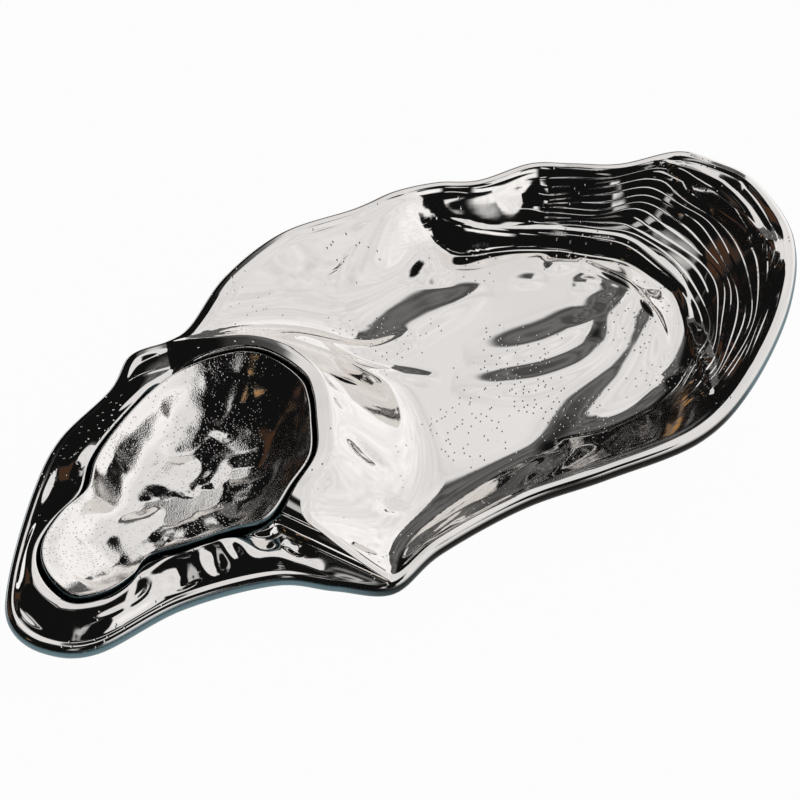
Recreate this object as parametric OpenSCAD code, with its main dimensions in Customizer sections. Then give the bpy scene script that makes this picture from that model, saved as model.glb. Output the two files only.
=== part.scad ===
// Chip and dip platter in the form of an oyster shell.
// A broad basin for chips fans out towards +X. A pear-shaped dip bowl sits loose in a seat at the -X end.
// The platter stands on four foot bumpers, and the bowl stands on three small bumpers in its seat.
// The origin is on the table, under the middle of the platter's outline.

/* [Platter] */
// Length over the rim, from the dip end to the fan end
platter_l = 449; // [404:1:494]
// Width over the rim
platter_w = 236; // [212:1:260]
// Height of the fan end's rim above the table
platter_h = 46.5; // [44:0.5:54]
// Upright thickness of the platter's walls
platter_t = 4.5; // [4.2:0.1:6]
// Thickness of the platter under the flat basin floor
floor_t = 4; // [3:0.1:4.2]
// Thickness of the platter under the dip bowl
seat_t = 3.5; // [3:0.1:4]
// Width of the rounded edge of the rim
rim_round = 3; // [2:0.1:4]
// Height of the two creases that run as a tongue from the collar into the basin
tongue_h = 2.5; // [1:0.1:4]

/* [Dip bowl] */
// Upright thickness of the bowl's walls
bowl_t = 3.4; // [3:0.1:4.4]
// Thickness of the bowl's flat floor
bowl_floor_t = 3; // [2.4:0.1:3.4]
// Width of the rounded edge of the bowl's lip
lip_round = 1.4; // [1:0.1:2]
// How much deeper the platter lies beside the bowl's free lip than beside the collar
moat_d = 5; // [2:0.1:6]
// How far the shoulder beside the bowl's free lip lies below the lip
shoulder_drop = 1.5; // [1:0.1:2.5]

/* [Bumpers] */
// Diameter of a foot bumper
foot_d = 12; // [9:0.5:15]
// Height of a foot bumper
foot_h = 3; // [2:0.1:4]
// Diameter of a bowl bumper
pad_d = 8; // [6:0.5:9]
// Height of a bowl bumper
pad_h = 1.4; // [1.2:0.1:2]

/* [Hidden] */
$fn = 48;

// Stations of the rim in plan, each with its height, against the sheet below.
// They run from the back notch round the dip end, the front notch and the fan end.
rim_sheet = [
    [-70, 96, 30], [-90, 99, 30], [-110, 87, 28], [-146, 76, 26], [-175, 55, 24], [-209, 21, 21],
    [-222, -1, 20], [-217, -21, 18], [-198, -36, 18], [-155, -40, 20], [-114, -54, 20], [-95, -74, 21],
    [-76, -93, 23], [-46, -90, 26], [0, -94, 29], [40, -106, 32], [88, -117, 35], [130, -108, 38],
    [178, -83, 43], [212, -50, 46], [226, -9, 46], [223, 17, 44], [213, 37, 43], [184, 50, 41],
    [166, 66, 40], [148, 80, 40], [120, 88, 38], [102, 100, 38], [80, 108, 38], [56, 111, 37],
    [16, 119, 37], [-24, 112, 35], [-56, 97, 31]
];
// Which rim station is the front notch; the back notch is the first
front_notch = 12;
// Stations of the collar, the crest between dip seat and basin, from the front notch to the back notch
collar_sheet = [
    [-76, -93, 23], [-86, -73, 27], [-93, -52, 30], [-97, -38, 33], [-78, -29, 35.5], [-58, -17, 37],
    [-45, 0, 38], [-36, 15, 38.5], [-32, 30, 38.5], [-34, 49, 38], [-43, 65, 37], [-58, 75, 35.5],
    [-66, 85, 33], [-70, 96, 30]
];
// Stations of the dip bowl's lip, against the clock from the basin side
lip_sheet = [
    [-38, 28, 37], [-40, 46, 37], [-47, 60, 36], [-63, 68, 35], [-82, 71, 34], [-104, 67, 33],
    [-127, 58, 32], [-143, 49, 31], [-155, 38, 29], [-171, 34, 28], [-186, 26, 27], [-194, 15, 27],
    [-196, 2, 26], [-193, -11, 26], [-180, -17, 26], [-166, -17, 27], [-154, -13, 28], [-138, -19, 30],
    [-116, -25, 31], [-100, -31, 33], [-81, -23, 35], [-63, -14, 36], [-50, 3, 37], [-42, 16, 37]
];
// Ledges of the fan, as stations in plan. Each has the height of the ledge's top there,
// and how far the wall below it is cut away, from 0 to 1.
ledge_sheets = [
    [[78, 106, 37, 0], [84, 89, 33, 0], [92, 84, 27, 0.6], [101, 76, 23, 1], [114, 69, 19, 1],
     [127, 60, 16.5, 1], [142, 47, 16, 1], [153, 34, 16.5, 1], [163, 20, 16, 0.7], [166, 2, 14, 0],
     [166, -18, 12, 0], [156, -34, 9, 0]],
    [[204, 32, 40, 0], [210, 18, 41.5, 0], [213, 2, 41.5, 0], [212, -18, 41.5, 0], [207, -36, 40, 0]]
];
// Slope of a ledge's face, the rounds at its crest and foot, and how far in the wall below is cut away
ledge_slope = 2.5;
ledge_round = 1.5;
ledge_blend = 0.6;
ledge_cut = 6;
// Lines of the tongue's creases in plan, and their half width
tongue_sheets = [
    [[-30, 60], [-18, 62], [-1, 55], [17, 43], [33, 40]],
    [[-16, 62], [-6, 50], [2, 37], [14, 27], [27, 13]]
];
tongue_w = 5;
// Middles of the basin and the dip seat
basin_sheet = [60, 5];
seat_sheet = [-112, 18];
// How far the basin's wall runs in from its edge, against the angle round the basin's middle
wall_runs = [
    [0, 48], [15, 44], [30, 30], [42, 25], [60, 24], [75, 25], [86, 36], [100, 42], [140, 46], [180, 60],
    [205, 46], [215, 30], [222, 26], [232, 28], [241, 38], [252, 50], [268, 54], [283, 50], [302, 44],
    [323, 46], [360, 48]
];
wall_bend = 0.4;
// Width of the level land along the top of the wall
land_w = 2.5;
// Places of the foot bumpers on the sheet, and of the bowl bumpers round the middle of the seat
feet_sheet = [[-104, 32], [-108, 4], [112, 42], [112, -36]];
pad_ring = 11;
pad_angles = [20, 140, 260];

// The sheet is stretched to the platter's length, width and height, and centred on its outline
steps = 3;
collar_steps = 2;
function cubic(a, b, c, d, t) =
    (2 * b + (c - a) * t + (2 * a - 5 * b + 4 * c - d) * t * t + (3 * b - a - 3 * c + d) * t * t * t) / 2;
function ring_at(list, u) = let (n = len(list), i = floor(u))
    cubic(list[(i - 1 + n) % n], list[i % n], list[(i + 1) % n], list[(i + 2) % n], u - i);
function line_at(list, u) = let (n = len(list), i = min(floor(u), n - 2))
    cubic(list[max(i - 1, 0)], list[i], list[i + 1], list[min(i + 2, n - 1)], u - i);
function ring(list, k) = [for (i = [0 : k * len(list) - 1]) ring_at(list, i / k)];
function line(list, k) = [for (i = [0 : k * (len(list) - 1)]) line_at(list, i / k)];
function column(list, k) = [for (p = list) p[k]];
function low(list, k) = min(column(list, k));
function high(list, k) = max(column(list, k));

rim_raw = ring(rim_sheet, steps);
sheet_mid = [(low(rim_raw, 0) + high(rim_raw, 0)) / 2, (low(rim_raw, 1) + high(rim_raw, 1)) / 2];
stretch = [
    platter_l / (high(rim_raw, 0) - low(rim_raw, 0)),
    platter_w / (high(rim_raw, 1) - low(rim_raw, 1)),
    platter_h / high(rim_raw, 2)
];
function placed(p) = [
    (p[0] - sheet_mid[0]) * stretch[0],
    (p[1] - sheet_mid[1]) * stretch[1],
    if (len(p) > 2) p[2] * stretch[2],
    if (len(p) > 3) p[3]
];
// Lengths of the sheet that lie in plan grow with the outline
grow = (stretch[0] + stretch[1]) / 2;
function flat(p) = [p[0], p[1]];

// Levels of the stack, from the table up
base_z = foot_h;
floor_z = base_z + floor_t;
seat_z = base_z + seat_t;
bowl_foot_z = seat_z + pad_h;
bowl_floor_z = bowl_foot_z + bowl_floor_t;

// Curves at their real size
rim = [for (p = rim_raw) placed(p)];
collar = [for (p = line(collar_sheet, collar_steps)) placed(p)];
lip = [for (p = ring(lip_sheet, steps)) placed(p)];
ledges = [for (sheet = ledge_sheets) [for (p = line(sheet, 2)) placed(p)]];
creases = [for (sheet = tongue_sheets) [for (p = line(sheet, 2)) flat(placed(p))]];
basin_mid = flat(placed(basin_sheet));
seat_mid = flat(placed(seat_sheet));

// Shaping functions
function clamp(x) = max(0, min(1, x));
function ease(x) = let (t = clamp(x)) t * t * (3 - 2 * t);
// A floor that bends up into a straight wall: 0 at p = 0, 1 at p = 1
function rise(p, bend) = let (x = clamp(p / bend))
    (bend * (pow(x, 3) - pow(x, 4) / 2) + max(0, p - bend)) / (1 - bend / 2);
function turn(p, mid) = let (a = atan2(p[1] - mid[1], p[0] - mid[0])) a < 0 ? a + 360 : a;
// Where a place lies beside a path: how far off, on the left where above 0,
// and which stretch of the path and which share of it is nearest
function beside(p, path) = let (
    all = [for (i = [0 : len(path) - 2]) let (
        v = flat(path[i + 1]) - flat(path[i]),
        off = p - flat(path[i]),
        t = clamp((off * v) / (v * v)),
        gap = off - t * v
    ) [norm(gap), cross(v, gap) > 0 ? 1 : -1, i, t]],
    least = min(column(all, 0)),
    best = [for (e = all) if (e[0] == least) e][0]
) [best[0] * best[1], best[2], best[3]];
// A rounded crease along a path, which rises and dies out at the ends
function crease(p, path, h, w) = let (
    b = beside(p, path),
    share = (b[1] + b[2]) / (len(path) - 1)
) h * ease(4 * share) * ease(2 * (1 - share)) * exp(-pow(b[0] / w, 2));
// A height raised to a level ledge that stands on a steep face
function over_ledge(p, z, path) = let (
    b = beside(p, path),
    at = path[b[1]] + (path[b[1] + 1] - path[b[1]]) * b[2],
    below = z - (z - floor_z) * at[3] * ease(-b[0] / (ledge_cut * grow)),
    apart = at[2] - ledge_slope * (norm([b[0], ledge_round]) - b[0]) / 2 - below
) below + (apart + norm([apart, ledge_blend])) / 2;
function over_ledges(p, z, k = 0) = k == len(ledges) ? z : over_ledges(p, over_ledge(p, z, ledges[k]), k + 1);

// The dip bowl: the share s runs from its middle to its lip
bowl_flat = 0.45;
bowl_bend = 0.8;
function bowl_in(s, lip_z) =
    bowl_floor_z + (lip_z - bowl_floor_z) * rise((s - bowl_flat) / (1 - bowl_flat), bowl_bend);
function bowl_out(s, lip_z) = max(bowl_foot_z, bowl_in(s, lip_z) - bowl_t);

// The lip as radius and height against the angle round the middle of the seat
function lip_table(k) = [for (whole = [-360, 0, 360], p = lip)
    [turn(p, seat_mid) + whole, k == 2 ? p[2] : norm(flat(p) - seat_mid)]];
lip_r_table = lip_table(0);
lip_z_table = lip_table(2);

// The dip seat: it follows the underside of the bowl, and outside the lip it runs to the rim or the collar.
// The free side of the lip spans the angles of the dip end's rim.
free_from = turn(rim[0], seat_mid);
free_to = turn(rim[front_notch * steps], seat_mid);
free_ease = 35;
function free_side(a) = ease((a - free_from) / free_ease) * ease((free_to - a) / free_ease);
function seat_in_z(s, a) =
    max(seat_z, bowl_out(s, lookup(a, lip_z_table)) - pad_h - moat_d * free_side(a) * pow(s, 4));
// Outside the free lip the surround climbs to a shoulder, and falls from there to the rim
shoulder_at = 0.22;
function seat_out_z(w, a, edge_z) = let (
    start = seat_in_z(1, a),
    plain = start + (edge_z - start) * ease(w),
    crown = lookup(a, lip_z_table) - shoulder_drop,
    shoulder = w < shoulder_at
        ? start + (crown - start) * ease(w / shoulder_at)
        : crown + (edge_z - crown) * ease((w - shoulder_at) / (1 - shoulder_at))
) plain + (shoulder - plain) * free_side(a);

// Grid of the platter. Both dishes are rays from their middle to a loop of rim and collar points.
rim_n = len(rim);
dip_n = front_notch * steps;
fan_n = rim_n - dip_n;
collar_n = len(collar) - 1;
basin_rows = 22;
floor_rows = 5;
seat_rows = 8;
moat_rows = 5;
dip_rows = seat_rows + moat_rows;
basin_cols = fan_n + collar_n;
dip_cols = dip_n + collar_n;

function inward(i) = let (
    d = flat(rim[(i + 1) % rim_n]) - flat(rim[(i - 1 + rim_n) % rim_n])
) [-d[1], d[0]] / norm(d);
rim_top = [for (i = [0 : rim_n - 1]) let (q = flat(rim[i]) + inward(i) * rim_round) [q[0], q[1], rim[i][2]]];
collar_top = [for (i = [1 : collar_n - 1]) collar[i]];
function basin_edge(j) = let (k = j % basin_cols)
    k <= fan_n ? (dip_n + k) % rim_n : rim_n + collar_n - 1 - (k - fan_n);
function dip_edge(j) = let (k = j % dip_cols) k <= dip_n ? k : rim_n + k - dip_n - 1;
edge_top = concat(rim_top, collar_top);
edge_n = len(edge_top);

// The basin: a flat floor that bends up into walls. Every stretch of the edge counts by the cube of its
// nearness, which gives each place a smooth depth inside the edge, and the height and wall run of the edge.
basin_loop = [for (j = [0 : basin_cols]) edge_top[basin_edge(j)]];
basin_runs = [for (q = basin_loop) grow * lookup(turn(q, basin_mid), wall_runs)];
all_stretches = [for (j = [1 : basin_cols]) 1];
function inside_edge(p) = let (
    pulls = [for (j = [0 : basin_cols - 1]) let (
        v = flat(basin_loop[j + 1]) - flat(basin_loop[j]),
        run = norm(v),
        r0 = norm(flat(basin_loop[j]) - p),
        r1 = norm(flat(basin_loop[j + 1]) - p),
        start = ((flat(basin_loop[j]) - p) * v) / run,
        pull = ((start + run) / r1 - start / r0) / (r0 * r0 - start * start + 0.0001),
        lean = 1 / r0 - 1 / r1,
        z_slope = (basin_loop[j + 1][2] - basin_loop[j][2]) / run,
        run_slope = (basin_runs[j + 1] - basin_runs[j]) / run
    ) [
        pull,
        (basin_loop[j][2] - start * z_slope) * pull + z_slope * lean,
        (basin_runs[j] - start * run_slope) * pull + run_slope * lean
    ]],
    total = all_stretches * pulls
) [sqrt(2 / total[0]), total[1] / total[0], total[2] / total[0]];
function basin_z(p) = let (
    edge = inside_edge(p),
    climb = 1 - max(0, edge[0] - land_w) / edge[2],
    wall = floor_z + (edge[1] - floor_z) * rise(climb, wall_bend),
    tongue = [for (path = creases) crease(p, path, tongue_h, tongue_w * grow)] * [1, 1]
) min(edge[1], over_ledges(p, wall)) + tongue * ease((edge[0] - land_w) / (2 * land_w));
function basin_share(i) = i < floor_rows
    ? 0.5 * i / floor_rows
    : 0.5 + 0.5 * (i - floor_rows) / (basin_rows - floor_rows);
function basin_top() = [for (i = [1 : basin_rows - 1], j = [0 : basin_cols - 1]) let (
    p = basin_mid + basin_share(i) * (flat(edge_top[basin_edge(j)]) - basin_mid)
) [p[0], p[1], basin_z(p)]];
dip_top = [for (i = [1 : dip_rows - 1], j = [0 : dip_cols - 1]) let (
    edge = edge_top[dip_edge(j)],
    a = turn(edge, seat_mid),
    lip_r = lookup(a, lip_r_table),
    s = min(1, i / seat_rows),
    w = max(0, (i - seat_rows) / moat_rows),
    r = s * lip_r + w * (norm(flat(edge) - seat_mid) - lip_r),
    z = i <= seat_rows ? seat_in_z(s, a) : seat_out_z(w, a, edge[2])
) [seat_mid[0] + r * cos(a), seat_mid[1] + r * sin(a), z]];
basin_first = edge_n;
basin_hub = basin_first + (basin_rows - 1) * basin_cols;
dip_first = basin_hub + 1;
dip_hub = dip_first + len(dip_top);
top_n = dip_hub + 1;
rim_brow = [for (p = rim) [p[0], p[1], p[2] - platter_t * 0.45]];

function basin_id(i, j) =
    i == basin_rows ? basin_edge(j) : basin_first + (i - 1) * basin_cols + j % basin_cols;
function dip_id(i, j) = i == dip_rows ? dip_edge(j) : dip_first + (i - 1) * dip_cols + j % dip_cols;
basin_faces = concat(
    [for (j = [0 : basin_cols - 1]) [basin_hub, basin_id(1, j + 1), basin_id(1, j)]],
    [for (i = [1 : basin_rows - 1], j = [0 : basin_cols - 1], half = [0, 1]) half == 0
        ? [basin_id(i, j), basin_id(i, j + 1), basin_id(i + 1, j + 1)]
        : [basin_id(i, j), basin_id(i + 1, j + 1), basin_id(i + 1, j)]]
);
dip_faces = concat(
    [for (j = [0 : dip_cols - 1]) [dip_hub, dip_id(1, j + 1), dip_id(1, j)]],
    [for (i = [1 : dip_rows - 1], j = [0 : dip_cols - 1], half = [0, 1]) half == 0
        ? [dip_id(i, j), dip_id(i, j + 1), dip_id(i + 1, j + 1)]
        : [dip_id(i, j), dip_id(i + 1, j + 1), dip_id(i + 1, j)]]
);
top_faces = concat(basin_faces, dip_faces);
under_faces = [for (f = top_faces) [f[0] + top_n, f[2] + top_n, f[1] + top_n]];
brow_first = 2 * top_n;
function brow_strip(i, upper) = let (
    k = (i + 1) % rim_n,
    a = upper ? i : brow_first + i,
    b = upper ? k : brow_first + k,
    c = upper ? brow_first + k : top_n + k,
    d = upper ? brow_first + i : top_n + i
) [[a, b, c], [a, c, d]];
brow_faces = [for (i = [0 : rim_n - 1], upper = [true, false], f = brow_strip(i, upper)) f];

module platter_shell() {
    top = concat(
        edge_top, basin_top(), [[basin_mid[0], basin_mid[1], floor_z]],
        dip_top, [[seat_mid[0], seat_mid[1], seat_z]]
    );
    under = [for (p = top) [p[0], p[1], max(base_z, p[2] - platter_t)]];
    color("silver") polyhedron(concat(top, under, rim_brow), concat(top_faces, under_faces, brow_faces));
}

// Grid of the bowl: rays from the middle of the seat to the lip
bowl_rows = 10;
bowl_cols = len(lip);
function lip_inset(p) = let (d = flat(p) - seat_mid) seat_mid + d * (1 - lip_round / norm(d));
bowl_top = [for (i = [1 : bowl_rows], j = [0 : bowl_cols - 1]) let (
    s = i / bowl_rows,
    q = seat_mid + s * (lip_inset(lip[j]) - seat_mid)
) [q[0], q[1], bowl_in(s, lip[j][2])]];
bowl_under = [for (i = [1 : bowl_rows], j = [0 : bowl_cols - 1]) let (
    s = i / bowl_rows,
    q = seat_mid + s * (lip_inset(lip[j]) - seat_mid)
) [q[0], q[1], bowl_out(s, lip[j][2])]];
lip_brow = [for (p = lip) [p[0], p[1], p[2] - bowl_t * 0.45]];
bowl_n = bowl_rows * bowl_cols + 1;
function bowl_id(i, j) = i == 0 ? bowl_n - 1 : (i - 1) * bowl_cols + j % bowl_cols;
bowl_faces = concat(
    [for (j = [0 : bowl_cols - 1]) [bowl_id(0, 0), bowl_id(1, j + 1), bowl_id(1, j)]],
    [for (i = [1 : bowl_rows - 1], j = [0 : bowl_cols - 1], half = [0, 1]) half == 0
        ? [bowl_id(i, j), bowl_id(i, j + 1), bowl_id(i + 1, j + 1)]
        : [bowl_id(i, j), bowl_id(i + 1, j + 1), bowl_id(i + 1, j)]]
);
bowl_under_faces = [for (f = bowl_faces) [f[0] + bowl_n, f[2] + bowl_n, f[1] + bowl_n]];
function lip_strip(j, upper) = let (
    k = (j + 1) % bowl_cols,
    a = upper ? bowl_id(bowl_rows, j) : 2 * bowl_n + j,
    b = upper ? bowl_id(bowl_rows, k) : 2 * bowl_n + k,
    c = upper ? 2 * bowl_n + k : bowl_n + bowl_id(bowl_rows, k),
    d = upper ? 2 * bowl_n + j : bowl_n + bowl_id(bowl_rows, j)
) [[a, b, c], [a, c, d]];
lip_faces = [for (j = [0 : bowl_cols - 1], upper = [true, false], f = lip_strip(j, upper)) f];

module dip_bowl() {
    color("gainsboro")
        polyhedron(
            concat(
                bowl_top, [[seat_mid[0], seat_mid[1], bowl_floor_z]],
                bowl_under, [[seat_mid[0], seat_mid[1], bowl_foot_z]],
                lip_brow
            ),
            concat(bowl_faces, bowl_under_faces, lip_faces)
        );
}

// A soft bumper: a disc with a flat top face and a rounded lower edge
module bumper(d, h) {
    round_r = 0.45 * h;
    translate([0, 0, round_r]) cylinder(d = d, h = h - round_r);
    cylinder(d = d - 2 * round_r, h = h);
    rotate_extrude() translate([d / 2 - round_r, round_r]) circle(round_r);
}

module foot_bumper(i) {
    place = placed(feet_sheet[i]);
    color("lightgrey") translate([place[0], place[1], 0]) bumper(foot_d, foot_h);
}

module bowl_bumper(i) {
    a = pad_angles[i];
    color("lightgrey")
        translate([seat_mid[0] + pad_ring * cos(a), seat_mid[1] + pad_ring * sin(a), seat_z])
            bumper(pad_d, pad_h);
}

platter_shell();
dip_bowl();
foot_bumper(0);  // foot_bumper_1
foot_bumper(1);  // foot_bumper_2
foot_bumper(2);  // foot_bumper_3
foot_bumper(3);  // foot_bumper_4
bowl_bumper(0);  // bowl_bumper_1
bowl_bumper(1);  // bowl_bumper_2
bowl_bumper(2);  // bowl_bumper_3
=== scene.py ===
# Chip and dip platter in the form of an oyster shell, in mirror-polished cast metal.
# Platter and loose dip bowl are laid out on a plan in millimetres, then set into the frame in metres.
import math
import bmesh
import bpy
import numpy as np
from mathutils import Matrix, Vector


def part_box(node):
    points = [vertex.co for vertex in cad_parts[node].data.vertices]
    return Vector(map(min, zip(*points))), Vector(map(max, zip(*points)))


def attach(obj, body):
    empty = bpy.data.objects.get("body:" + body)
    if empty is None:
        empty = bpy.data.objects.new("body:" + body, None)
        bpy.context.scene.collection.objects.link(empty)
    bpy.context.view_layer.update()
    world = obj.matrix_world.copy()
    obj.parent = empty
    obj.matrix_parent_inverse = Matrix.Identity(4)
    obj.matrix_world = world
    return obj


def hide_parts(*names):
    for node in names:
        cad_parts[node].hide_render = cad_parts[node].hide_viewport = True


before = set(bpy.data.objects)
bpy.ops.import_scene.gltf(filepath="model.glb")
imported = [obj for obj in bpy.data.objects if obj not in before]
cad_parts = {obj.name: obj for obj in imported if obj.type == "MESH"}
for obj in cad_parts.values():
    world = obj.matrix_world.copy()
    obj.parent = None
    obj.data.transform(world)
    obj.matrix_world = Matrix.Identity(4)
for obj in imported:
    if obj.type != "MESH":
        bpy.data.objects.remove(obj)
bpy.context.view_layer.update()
MM = 0.001

# Stations of the rim on the plan, each with its height: from the back notch round the dip end,
# the front notch and the fan end
RIM = np.array([
    [-70, 96, 30], [-90, 99, 30], [-110, 87, 28], [-146, 76, 26], [-175, 55, 24], [-209, 21, 21],
    [-222, -1, 20], [-217, -21, 18], [-198, -36, 18], [-155, -40, 20], [-114, -54, 20], [-95, -74, 21],
    [-76, -93, 23], [-46, -90, 26], [0, -94, 29], [40, -106, 32], [88, -117, 35], [130, -108, 38],
    [178, -83, 43], [212, -50, 46], [226, -9, 46], [223, 17, 44], [213, 37, 43], [184, 50, 41],
    [166, 66, 40], [148, 80, 40], [120, 88, 38], [102, 100, 38], [80, 108, 38], [56, 111, 37],
    [16, 119, 37], [-24, 112, 35], [-56, 97, 31],
], float)
FRONT_NOTCH = 12
# Stations of the collar between dip seat and basin, from the front notch to the back notch
COLLAR = np.array([
    [-76, -93, 23], [-81, -74, 27], [-85.5, -54, 30], [-88, -41, 33], [-78, -28, 35.5], [-58, -17, 37],
    [-45, 0, 38], [-36, 15, 38.5], [-32, 30, 38.5], [-34, 49, 38], [-43, 65, 37], [-58, 76.5, 35.5],
    [-66, 85.5, 33], [-70, 96, 30],
], float)
# Stations of the dip bowl's lip, against the clock from the basin side
LIP = np.array([
    [-38, 28, 37], [-40, 46, 37], [-47, 60, 36], [-63, 68, 35], [-82, 71, 34], [-104, 67, 33],
    [-127, 58, 32], [-143, 49, 31], [-155, 38, 29], [-171, 34, 28], [-186, 26, 27], [-194, 15, 27],
    [-196, 2, 26], [-193, -11, 26], [-180, -17, 26], [-166, -17, 27], [-154, -13, 28], [-138, -19, 30],
    [-116, -25, 31], [-100, -31, 33], [-81, -23, 35], [-63, -14, 36], [-50, 3, 37], [-42, 16, 37],
], float)
BASIN_MID = np.array([60.0, 5.0])
SEAT_MID = np.array([-112.0, 18.0])

# Ledges of the fan: stations on the plan, each with the ledge's top and how far the wall below is cut away
LEDGES = [
    [[86, 107, 36, 0], [89, 96, 29, 0], [94, 86, 25.5, 0.5], [102, 77, 23, 1], [114, 69, 19, 1],
     [127, 60, 16.5, 1], [142, 47, 16, 1], [153, 34, 16.5, 1], [163, 20, 16, 0.7], [166, 2, 14, 0],
     [166, -18, 12, 0], [156, -34, 9, 0]],
    [[203, 28, 41.5, 0], [207, 17, 42.4, 0], [208.5, 2, 42.6, 0], [206.5, -16, 42.8, 0], [202, -31, 42, 0]],
    [[178, 54, 41.5, 0], [187, 43, 41, 0], [194, 33, 38.5, 0], [199, 25, 36, 0]],
    [[199, 4, 24, 0], [200, -6, 27.5, 0], [197, -24, 27.5, 0], [192, -34, 23, 0]],
]
# Folds of the basin: stations on the plan, each with the fold's height and half width there;
# a fifth number is the half width on the left
FAN_SHELVES = [
    [[143, 30, 0, 2], [148, 10, 0.6, 2], [148, -8, 0.6, 2], [140, -36, 0.6, 2], [124, -56, 0, 2]],
]
TONGUE = [
    [[-30, 60, 0, 6], [-18, 62, 2.5, 6], [-1, 55, 3, 5], [17, 43, 2.5, 5], [33, 40, 1.2, 5]],
    [[-16, 62, 0.4, 4], [-6, 50, 1.2, 4], [2, 37, 1.2, 4], [14, 27, 0.9, 4], [27, 13, 0.4, 4]],
]
FLOOR_SWELLS = [
    # Beside the tongue
    [[6, 50, 0, 7, 8], [25, 44, 1.6, 7, 14], [56, 45, 1.7, 7, 14], [76, 45, 1, 7, 10], [92, 45, 0, 7, 6]],
    # The hook's upper arm, then its lower arm with the bend and the head
    [[50, 12, 0, 6, 9], [62, 5, 0.7, 6, 11], [76, -1, 1.6, 6, 11], [90, -5, 1.8, 6, 11],
     [104, -6, 1.6, 6, 11], [114, -4, 0.8, 6, 11], [122, 0, 0, 6, 11]],
    [[34, 2, 0, 6, 9], [46, -10, 0.9, 6, 10], [58, -18, 1.8, 7, 11], [74, -25, 2, 7, 11],
     [94, -28, 2.1, 7, 11], [111, -25, 2.6, 7, 12], [123, -17, 3.3, 8, 13], [134, -9, 3.2, 8, 13],
     [145, -3, 2.4, 7, 12], [155, 6, 1, 7, 10], [163, 16, 0, 7, 9]],
    # Short marks below the fan and the back wall
    [[125, 40, 0, 5, 4], [132, 36, 1, 5, 6], [142, 30, 0, 5, 4]],
    [[126, 20, 0, 5, 4], [133, 16, 0.7, 5, 6], [143, 9, 0, 5, 4]],
    [[104, 42, 0, 4, 4], [112, 35, 0.35, 4, 5], [120, 30, 0, 4, 4]],
    [[70, 62, 0, 6, 10], [76, 70, 2.6, 7, 11], [82, 78, 2.6, 7, 11], [86, 84, 0, 6, 10]],
    # The stroke along the near wall
    [[158, -8, 0, 9, 8], [150, -17, 2, 9, 8], [141, -26, 3.2, 9, 9], [126, -36, 3.4, 10, 11],
     [107, -46, 3.1, 12, 14], [90, -52, 3.1, 13, 15], [71, -59, 3.2, 13, 16], [52, -67, 2.9, 12, 14]],
]
NEAR_FOLDS = [
    [[52, -74, 0, 5], [36, -80, 1, 5], [20, -88, 0, 5]],
    [[34, -64, 0, 4], [20, -74, 0.8, 4], [2, -82, 0, 4]],
    [[112, -50, 0, 5], [124, -66, 0.8, 5], [134, -84, 0, 5]],
    [[-10, -72, 0, 4], [-32, -78, 1, 4], [-52, -84, 0, 4]],
]
# Hollows of the basin: middle on the plan, half axes, turn in degrees and depth
BASIN_HOLLOWS = [
    [(126, 84), (30, 8), -32, 2],
    [(12, 96), (46, 10), 8, 0.8],
    [(136, 3), (3, 3), 0, 0.3],
    [(115, -3), (4, 3), 0, 0.3],
    [(104, 88), (6, 3), -30, -0.9],
    [(147, 73), (4, 3), 20, 1],
    [(144, 66), (4, 3), -30, -0.9],
    [(142, 60), (4, 3), 0, 0.8],
    [(114, 89), (9, 2.5), -32, 0.9],
    [(126, 80), (6, 2), -40, 0.8],
    [(136, 71), (4, 3), 0, 0.7],
    [(148, 66), (6, 5), 30, 1],
    [(155, 56), (6, 4), -30, 1],
    [(-30, 20), (3, 7), 20, 1.2],
    [(-33, 7), (3, 6), 10, 1.2],
    [(-37, -21), (4, 8), 25, 2.5],
    [(-70, -28), (6, 3), 10, 1.6],
    [(-44, -48), (5, 3), -30, 1.8],
    [(-82, -60), (8, 4), -50, 1],
    [(-72, -64), (3, 8), 40, 0.8],
]
# Folds and hollows of the surround of the dip bowl, in the same forms
SURROUND_FOLDS = [
    [[-156, 50, 0, 3], [-148, 56, 1.4, 3], [-136, 62, 0, 3]],
    [[-176, 40, 0, 5], [-194, 26, 2, 5], [-204, 6, 2.2, 5], [-204, -10, 1, 5]],
    [[-200, -24, 0, 3], [-184, -29, 1.4, 3], [-166, -29, 1.4, 3], [-157, -23, 0, 3]],
    [[-113, 84, 0, 1.2], [-104, 83, 0.5, 1.2], [-90, 81, 0.5, 1.2], [-76, 78, 0, 1.2]],
    [[-122, 68, 0, 1.2, 8], [-104, 72, 1, 1.2, 8], [-88, 75, 1, 1.2, 8], [-72, 78, 0, 1.2, 8]],
]
SURROUND_HOLLOWS = [
    [(-157, 47), (10, 7), -50, 1.2],
    [(-210, -4), (5, 12), 10, 1.5],
    [(-148, -30), (8, 7), 0, 3],
    [(-131, -32), (5, 6), 0, 2.6],
    [(-121, -33), (3, 5), 0, 1.6],
    [(-107, -36), (6, 5), 0, 1.8],
    [(-95, -47), (5, 5), 0, 1.4],
    [(-165, 52), (5, 10), -50, 2.2],
    [(-92, 97), (16, 14), 0, 3],
]

# Wall sizes, in millimetres
PLATTER_T = 4.5
FLOOR_T = 4.0
RIM_ROUND, RIM_T = 3.0, 7.0
BOWL_T = 3.4
BOWL_FLOOR_T = 3.0
LIP_ROUND = 1.4
# The moat on the bowl's free side, the level land inside the rim and the fine groove beside it
MOAT_D = 5.0
LAND_W, LAND_ROUND, LAND_SHARE = 2.5, 0.9, 1 / 3
GROOVE_D, GROOVE_W, GROOVE_IN = 0.4, 1.2, 4.5
# Distance from the land, and from the lip, over which folds and hollows come in
BASIN_EASE, SURROUND_EASE = 7, 4

# How many points stand for a curve: of the rim and of a fold between two stations, of a stretch that is
# spaced out evenly, of the lip and of the foot of the growth lines
RIM_POINTS, FOLD_POINTS = 3, 12
STRETCH_POINTS, LIP_POINTS, FOOT_POINTS = 1200, 960, 400


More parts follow.
